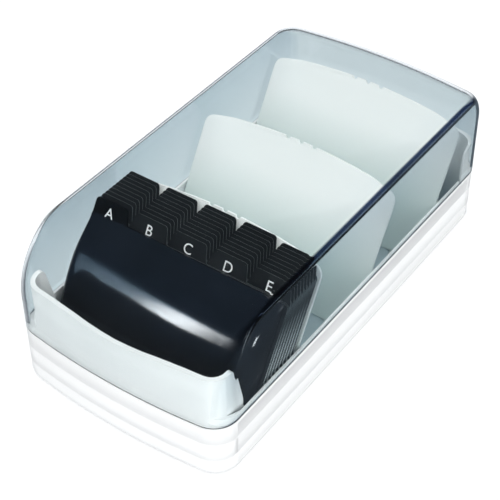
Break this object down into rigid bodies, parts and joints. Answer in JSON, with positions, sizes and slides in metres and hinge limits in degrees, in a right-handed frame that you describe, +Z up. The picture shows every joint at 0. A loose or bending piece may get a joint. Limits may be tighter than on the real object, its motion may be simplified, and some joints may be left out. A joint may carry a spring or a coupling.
{
  "type": "card file",
  "caption": "Desk card file: shallow tray with a raised front wall, clear smoke lid hinged at the rear, black front block with tabbed index guides, and leaning divider plates.",
  "frame": {"origin": "middle of the bounding box's footprint, on the surface that the four feet stand on", "axes": "+Z up, -Y to the front wall, +X to the right seen from the front; the lid's hinge axis runs along X at the rear"},
  "size_m": [0.108, 0.2212, 0.074],
  "materials": {
    "tray_white": "fine satin moulded white plastic",
    "lid_smoke": "clear polished plastic with a cool smoke tint",
    "block_black": "polished black plastic",
    "guide_charcoal": "satin black plastic sheet",
    "divider_pearl": "satin off-white plastic sheet",
    "pin_steel": "drawn steel wire",
    "foot_rubber": "dull rubber"
  },
  "bodies": {
    "tray": {"tray": "tray_white", "front_block": "block_black", "hinge_pin_left": "pin_steel", "hinge_pin_right": "pin_steel", "foot_front_left": "foot_rubber", "foot_front_right": "foot_rubber", "foot_rear_left": "foot_rubber", "foot_rear_right": "foot_rubber"},
    "lid": {"lid": "lid_smoke"},
    "divider_1": {"divider_1": "divider_pearl"},
    "divider_2": {"divider_2": "divider_pearl"},
    "divider_3": {"divider_3": "divider_pearl"},
    "index_guide_01": {"index_guide_01": "guide_charcoal"},
    "index_guide_02": {"index_guide_02": "guide_charcoal"},
    "index_guide_03": {"index_guide_03": "guide_charcoal"},
    "index_guide_04": {"index_guide_04": "guide_charcoal"},
    "index_guide_05": {"index_guide_05": "guide_charcoal"},
    "index_guide_06": {"index_guide_06": "guide_charcoal"},
    "index_guide_07": {"index_guide_07": "guide_charcoal"},
    "index_guide_08": {"index_guide_08": "guide_charcoal"},
    "index_guide_09": {"index_guide_09": "guide_charcoal"},
    "index_guide_10": {"index_guide_10": "guide_charcoal"},
    "index_guide_11": {"index_guide_11": "guide_charcoal"},
    "index_guide_12": {"index_guide_12": "guide_charcoal"},
    "index_guide_13": {"index_guide_13": "guide_charcoal"},
    "index_guide_14": {"index_guide_14": "guide_charcoal"},
    "index_guide_15": {"index_guide_15": "guide_charcoal"},
    "index_guide_16": {"index_guide_16": "guide_charcoal"},
    "index_guide_17": {"index_guide_17": "guide_charcoal"},
    "index_guide_18": {"index_guide_18": "guide_charcoal"},
    "index_guide_19": {"index_guide_19": "guide_charcoal"},
    "index_guide_20": {"index_guide_20": "guide_charcoal"},
    "index_guide_21": {"index_guide_21": "guide_charcoal"},
    "index_guide_22": {"index_guide_22": "guide_charcoal"},
    "index_guide_23": {"index_guide_23": "guide_charcoal"},
    "index_guide_24": {"index_guide_24": "guide_charcoal"},
    "index_guide_25": {"index_guide_25": "guide_charcoal"},
    "index_guide_26": {"index_guide_26": "guide_charcoal"},
    "index_guide_27": {"index_guide_27": "guide_charcoal"},
    "index_guide_28": {"index_guide_28": "guide_charcoal"},
    "index_guide_29": {"index_guide_29": "guide_charcoal"},
    "index_guide_30": {"index_guide_30": "guide_charcoal"},
    "index_guide_31": {"index_guide_31": "guide_charcoal"},
    "index_guide_32": {"index_guide_32": "guide_charcoal"},
    "index_guide_33": {"index_guide_33": "guide_charcoal"},
    "index_guide_34": {"index_guide_34": "guide_charcoal"},
    "index_guide_35": {"index_guide_35": "guide_charcoal"},
    "index_guide_36": {"index_guide_36": "guide_charcoal"},
    "index_guide_37": {"index_guide_37": "guide_charcoal"},
    "index_guide_38": {"index_guide_38": "guide_charcoal"},
    "index_guide_39": {"index_guide_39": "guide_charcoal"},
    "index_guide_40": {"index_guide_40": "guide_charcoal"},
    "index_guide_41": {"index_guide_41": "guide_charcoal"},
    "index_guide_42": {"index_guide_42": "guide_charcoal"},
    "index_guide_43": {"index_guide_43": "guide_charcoal"},
    "index_guide_44": {"index_guide_44": "guide_charcoal"},
    "index_guide_45": {"index_guide_45": "guide_charcoal"},
    "index_guide_46": {"index_guide_46": "guide_charcoal"},
    "index_guide_47": {"index_guide_47": "guide_charcoal"},
    "index_guide_48": {"index_guide_48": "guide_charcoal"}
  },
  "joints": [
    {"name": "lid_hinge", "type": "hinge", "parent": "tray", "child": "lid", "pos_m": [0, 0.1082, 0.0284], "axis": [-1, 0, 0], "range_deg": [0, 100]},
    {"name": "divider_1_slide", "type": "slide", "parent": "tray", "child": "divider_1", "axis": [0, 1, 0], "range_m": [0, 0.018]},
    {"name": "divider_2_slide", "type": "slide", "parent": "tray", "child": "divider_2", "axis": [0, 1, 0], "range_m": [-0.024, 0.02]},
    {"name": "divider_3_slide", "type": "slide", "parent": "tray", "child": "divider_3", "axis": [0, 1, 0], "range_m": [-0.02, 0.012]},
    {"name": "index_guide_01_slide", "type": "slide", "parent": "tray", "child": "index_guide_01", "axis": [0, 1, 0], "range_m": [0, 0.00039]},
    {"name": "index_guide_02_slide", "type": "slide", "parent": "tray", "child": "index_guide_02", "axis": [0, 1, 0], "range_m": [0, 0.00075]},
    {"name": "index_guide_03_slide", "type": "slide", "parent": "tray", "child": "index_guide_03", "axis": [0, 1, 0], "range_m": [0, 0.00112]},
    {"name": "index_guide_04_slide", "type": "slide", "parent": "tray", "child": "index_guide_04", "axis": [0, 1, 0], "range_m": [0, 0.00149]},
    {"name": "index_guide_05_slide", "type": "slide", "parent": "tray", "child": "index_guide_05", "axis": [0, 1, 0], "range_m": [0, 0.00186]},
    {"name": "index_guide_06_slide", "type": "slide", "parent": "tray", "child": "index_guide_06", "axis": [0, 1, 0], "range_m": [0, 0.00222]},
    {"name": "index_guide_07_slide", "type": "slide", "parent": "tray", "child": "index_guide_07", "axis": [0, 1, 0], "range_m": [0, 0.00259]},
    {"name": "index_guide_08_slide", "type": "slide", "parent": "tray", "child": "index_guide_08", "axis": [0, 1, 0], "range_m": [0, 0.00296]},
    {"name": "index_guide_09_slide", "type": "slide", "parent": "tray", "child": "index_guide_09", "axis": [0, 1, 0], "range_m": [0, 0.00333]},
    {"name": "index_guide_10_slide", "type": "slide", "parent": "tray", "child": "index_guide_10", "axis": [0, 1, 0], "range_m": [0, 0.00369]},
    {"name": "index_guide_11_slide", "type": "slide", "parent": "tray", "child": "index_guide_11", "axis": [0, 1, 0], "range_m": [0, 0.00406]},
    {"name": "index_guide_12_slide", "type": "slide", "parent": "tray", "child": "index_guide_12", "axis": [0, 1, 0], "range_m": [0, 0.00443]},
    {"name": "index_guide_13_slide", "type": "slide", "parent": "tray", "child": "index_guide_13", "axis": [0, 1, 0], "range_m": [0, 0.0048]},
    {"name": "index_guide_14_slide", "type": "slide", "parent": "tray", "child": "index_guide_14", "axis": [0, 1, 0], "range_m": [0, 0.00516]},
    {"name": "index_guide_15_slide", "type": "slide", "parent": "tray", "child": "index_guide_15", "axis": [0, 1, 0], "range_m": [0, 0.00553]},
    {"name": "index_guide_16_slide", "type": "slide", "parent": "tray", "child": "index_guide_16", "axis": [0, 1, 0], "range_m": [0, 0.0059]},
    {"name": "index_guide_17_slide", "type": "slide", "parent": "tray", "child": "index_guide_17", "axis": [0, 1, 0], "range_m": [0, 0.00626]},
    {"name": "index_guide_18_slide", "type": "slide", "parent": "tray", "child": "index_guide_18", "axis": [0, 1, 0], "range_m": [0, 0.00663]},
    {"name": "index_guide_19_slide", "type": "slide", "parent": "tray", "child": "index_guide_19", "axis": [0, 1, 0], "range_m": [0, 0.007]},
    {"name": "index_guide_20_slide", "type": "slide", "parent": "tray", "child": "index_guide_20", "axis": [0, 1, 0], "range_m": [0, 0.00737]},
    {"name": "index_guide_21_slide", "type": "slide", "parent": "tray", "child": "index_guide_21", "axis": [0, 1, 0], "range_m": [0, 0.00773]},
    {"name": "index_guide_22_slide", "type": "slide", "parent": "tray", "child": "index_guide_22", "axis": [0, 1, 0], "range_m": [0, 0.0081]},
    {"name": "index_guide_23_slide", "type": "slide", "parent": "tray", "child": "index_guide_23", "axis": [0, 1, 0], "range_m": [0, 0.00847]},
    {"name": "index_guide_24_slide", "type": "slide", "parent": "tray", "child": "index_guide_24", "axis": [0, 1, 0], "range_m": [0, 0.00884]},
    {"name": "index_guide_25_slide", "type": "slide", "parent": "tray", "child": "index_guide_25", "axis": [0, 1, 0], "range_m": [0, 0.0092]},
    {"name": "index_guide_26_slide", "type": "slide", "parent": "tray", "child": "index_guide_26", "axis": [0, 1, 0], "range_m": [0, 0.00957]},
    {"name": "index_guide_27_slide", "type": "slide", "parent": "tray", "child": "index_guide_27", "axis": [0, 1, 0], "range_m": [0, 0.00994]},
    {"name": "index_guide_28_slide", "type": "slide", "parent": "tray", "child": "index_guide_28", "axis": [0, 1, 0], "range_m": [0, 0.01031]},
    {"name": "index_guide_29_slide", "type": "slide", "parent": "tray", "child": "index_guide_29", "axis": [0, 1, 0], "range_m": [0, 0.01067]},
    {"name": "index_guide_30_slide", "type": "slide", "parent": "tray", "child": "index_guide_30", "axis": [0, 1, 0], "range_m": [0, 0.01104]},
    {"name": "index_guide_31_slide", "type": "slide", "parent": "tray", "child": "index_guide_31", "axis": [0, 1, 0], "range_m": [0, 0.01141]},
    {"name": "index_guide_32_slide", "type": "slide", "parent": "tray", "child": "index_guide_32", "axis": [0, 1, 0], "range_m": [0, 0.01178]},
    {"name": "index_guide_33_slide", "type": "slide", "parent": "tray", "child": "index_guide_33", "axis": [0, 1, 0], "range_m": [0, 0.01214]},
    {"name": "index_guide_34_slide", "type": "slide", "parent": "tray", "child": "index_guide_34", "axis": [0, 1, 0], "range_m": [0, 0.01251]},
    {"name": "index_guide_35_slide", "type": "slide", "parent": "tray", "child": "index_guide_35", "axis": [0, 1, 0], "range_m": [0, 0.01288]},
    {"name": "index_guide_36_slide", "type": "slide", "parent": "tray", "child": "index_guide_36", "axis": [0, 1, 0], "range_m": [0, 0.01324]},
    {"name": "index_guide_37_slide", "type": "slide", "parent": "tray", "child": "index_guide_37", "axis": [0, 1, 0], "range_m": [0, 0.01361]},
    {"name": "index_guide_38_slide", "type": "slide", "parent": "tray", "child": "index_guide_38", "axis": [0, 1, 0], "range_m": [0, 0.01398]},
    {"name": "index_guide_39_slide", "type": "slide", "parent": "tray", "child": "index_guide_39", "axis": [0, 1, 0], "range_m": [0, 0.01435]},
    {"name": "index_guide_40_slide", "type": "slide", "parent": "tray", "child": "index_guide_40", "axis": [0, 1, 0], "range_m": [0, 0.01471]},
    {"name": "index_guide_41_slide", "type": "slide", "parent": "tray", "child": "index_guide_41", "axis": [0, 1, 0], "range_m": [0, 0.01508]},
    {"name": "index_guide_42_slide", "type": "slide", "parent": "tray", "child": "index_guide_42", "axis": [0, 1, 0], "range_m": [0, 0.01545]},
    {"name": "index_guide_43_slide", "type": "slide", "parent": "tray", "child": "index_guide_43", "axis": [0, 1, 0], "range_m": [0, 0.01582]},
    {"name": "index_guide_44_slide", "type": "slide", "parent": "tray", "child": "index_guide_44", "axis": [0, 1, 0], "range_m": [0, 0.01618]},
    {"name": "index_guide_45_slide", "type": "slide", "parent": "tray", "child": "index_guide_45", "axis": [0, 1, 0], "range_m": [0, 0.01655]},
    {"name": "index_guide_46_slide", "type": "slide", "parent": "tray", "child": "index_guide_46", "axis": [0, 1, 0], "range_m": [0, 0.01692]},
    {"name": "index_guide_47_slide", "type": "slide", "parent": "tray", "child": "index_guide_47", "axis": [0, 1, 0], "range_m": [0, 0.01729]},
    {"name": "index_guide_48_slide", "type": "slide", "parent": "tray", "child": "index_guide_48", "axis": [0, 1, 0], "range_m": [0, 0.01765]}
  ],
  "couplings": [
    {"joint": "index_guide_01_slide", "follows": "divider_1_slide", "ratio": 0.02041},
    {"joint": "index_guide_02_slide", "follows": "divider_1_slide", "ratio": 0.04082},
    {"joint": "index_guide_03_slide", "follows": "divider_1_slide", "ratio": 0.06122},
    {"joint": "index_guide_04_slide", "follows": "divider_1_slide", "ratio": 0.08163},
    {"joint": "index_guide_05_slide", "follows": "divider_1_slide", "ratio": 0.10204},
    {"joint": "index_guide_06_slide", "follows": "divider_1_slide", "ratio": 0.12245},
    {"joint": "index_guide_07_slide", "follows": "divider_1_slide", "ratio": 0.14286},
    {"joint": "index_guide_08_slide", "follows": "divider_1_slide", "ratio": 0.16327},
    {"joint": "index_guide_09_slide", "follows": "divider_1_slide", "ratio": 0.18367},
    {"joint": "index_guide_10_slide", "follows": "divider_1_slide", "ratio": 0.20408},
    {"joint": "index_guide_11_slide", "follows": "divider_1_slide", "ratio": 0.22449},
    {"joint": "index_guide_12_slide", "follows": "divider_1_slide", "ratio": 0.2449},
    {"joint": "index_guide_13_slide", "follows": "divider_1_slide", "ratio": 0.26531},
    {"joint": "index_guide_14_slide", "follows": "divider_1_slide", "ratio": 0.28571},
    {"joint": "index_guide_15_slide", "follows": "divider_1_slide", "ratio": 0.30612},
    {"joint": "index_guide_16_slide", "follows": "divider_1_slide", "ratio": 0.32653},
    {"joint": "index_guide_17_slide", "follows": "divider_1_slide", "ratio": 0.34694},
    {"joint": "index_guide_18_slide", "follows": "divider_1_slide", "ratio": 0.36735},
    {"joint": "index_guide_19_slide", "follows": "divider_1_slide", "ratio": 0.38776},
    {"joint": "index_guide_20_slide", "follows": "divider_1_slide", "ratio": 0.40816},
    {"joint": "index_guide_21_slide", "follows": "divider_1_slide", "ratio": 0.42857},
    {"joint": "index_guide_22_slide", "follows": "divider_1_slide", "ratio": 0.44898},
    {"joint": "index_guide_23_slide", "follows": "divider_1_slide", "ratio": 0.46939},
    {"joint": "index_guide_24_slide", "follows": "divider_1_slide", "ratio": 0.4898},
    {"joint": "index_guide_25_slide", "follows": "divider_1_slide", "ratio": 0.5102},
    {"joint": "index_guide_26_slide", "follows": "divider_1_slide", "ratio": 0.53061},
    {"joint": "index_guide_27_slide", "follows": "divider_1_slide", "ratio": 0.55102},
    {"joint": "index_guide_28_slide", "follows": "divider_1_slide", "ratio": 0.57143},
    {"joint": "index_guide_29_slide", "follows": "divider_1_slide", "ratio": 0.59184},
    {"joint": "index_guide_30_slide", "follows": "divider_1_slide", "ratio": 0.61224},
    {"joint": "index_guide_31_slide", "follows": "divider_1_slide", "ratio": 0.63265},
    {"joint": "index_guide_32_slide", "follows": "divider_1_slide", "ratio": 0.65306},
    {"joint": "index_guide_33_slide", "follows": "divider_1_slide", "ratio": 0.67347},
    {"joint": "index_guide_34_slide", "follows": "divider_1_slide", "ratio": 0.69388},
    {"joint": "index_guide_35_slide", "follows": "divider_1_slide", "ratio": 0.71429},
    {"joint": "index_guide_36_slide", "follows": "divider_1_slide", "ratio": 0.73469},
    {"joint": "index_guide_37_slide", "follows": "divider_1_slide", "ratio": 0.7551},
    {"joint": "index_guide_38_slide", "follows": "divider_1_slide", "ratio": 0.77551},
    {"joint": "index_guide_39_slide", "follows": "divider_1_slide", "ratio": 0.79592},
    {"joint": "index_guide_40_slide", "follows": "divider_1_slide", "ratio": 0.81633},
    {"joint": "index_guide_41_slide", "follows": "divider_1_slide", "ratio": 0.83673},
    {"joint": "index_guide_42_slide", "follows": "divider_1_slide", "ratio": 0.85714},
    {"joint": "index_guide_43_slide", "follows": "divider_1_slide", "ratio": 0.87755},
    {"joint": "index_guide_44_slide", "follows": "divider_1_slide", "ratio": 0.89796},
    {"joint": "index_guide_45_slide", "follows": "divider_1_slide", "ratio": 0.91837},
    {"joint": "index_guide_46_slide", "follows": "divider_1_slide", "ratio": 0.93878},
    {"joint": "index_guide_47_slide", "follows": "divider_1_slide", "ratio": 0.95918},
    {"joint": "index_guide_48_slide", "follows": "divider_1_slide", "ratio": 0.97959}
  ]
}
